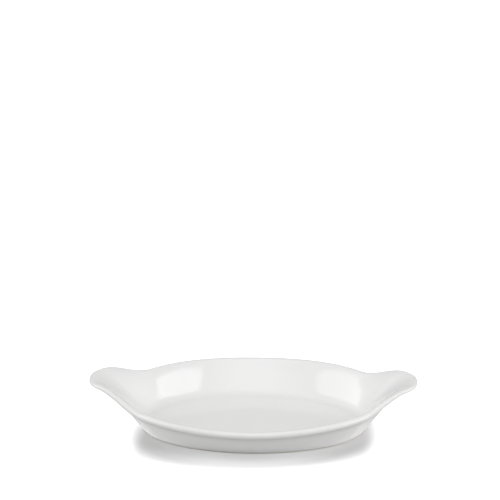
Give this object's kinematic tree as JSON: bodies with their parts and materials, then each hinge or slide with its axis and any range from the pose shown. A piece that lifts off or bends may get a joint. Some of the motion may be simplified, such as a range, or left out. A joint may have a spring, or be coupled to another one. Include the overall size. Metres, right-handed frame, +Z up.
{
  "type": "oval baking dish",
  "caption": "Shallow oval baking dish in white glazed ceramic, with a flared wall, a round beaded rim and a lifted ear at each end to carry it by.",
  "frame": {"origin": "on the table under the middle of the dish, where it stands on its foot ring", "axes": "+X from the middle to one ear, +Y across the dish, +Z up out of the well"},
  "size_m": [0.232, 0.126, 0.038],
  "materials": {
    "fired_body": "bare fired body, matt",
    "white_glaze": "white gloss glaze"
  },
  "bodies": {
    "root": {"ceramic_body": "fired_body", "glaze_coat": "white_glaze", "base_glaze": "white_glaze"}
  },
  "joints": []
}
